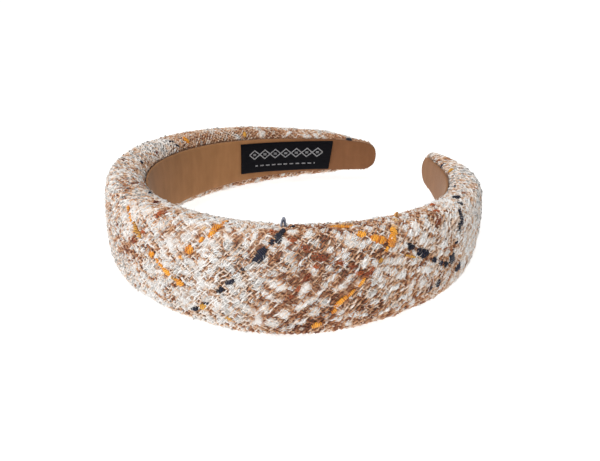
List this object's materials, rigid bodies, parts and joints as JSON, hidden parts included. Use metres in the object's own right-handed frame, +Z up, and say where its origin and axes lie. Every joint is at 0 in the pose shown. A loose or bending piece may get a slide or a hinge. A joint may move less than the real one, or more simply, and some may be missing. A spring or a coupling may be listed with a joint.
{
  "type": "padded headband",
  "caption": "Thick padded headband covered in bias-cut tweed, with a suede-like lining strip and a woven label, open between its tips so that it springs over a head.",
  "frame": {"origin": "on the surface that the band lies on, under the middle of its bounding box", "axes": "+Z up from the surface; the crown points to -Y and both tips to +Y; +X is the side with no label"},
  "size_m": [0.1504, 0.1618, 0.0366],
  "materials": {
    "tweed": "loose boucle tweed cut on the bias, white loops over tan ground with fine rust, orange and navy yarns",
    "suede_lining": "matt suede-like ribbon with faint cross ribs",
    "woven_label": "black satin weave with a plain motif in grey thread"
  },
  "bodies": {
    "root": {"padded_cover": "tweed", "lining": "suede_lining", "label": "woven_label"}
  },
  "joints": []
}
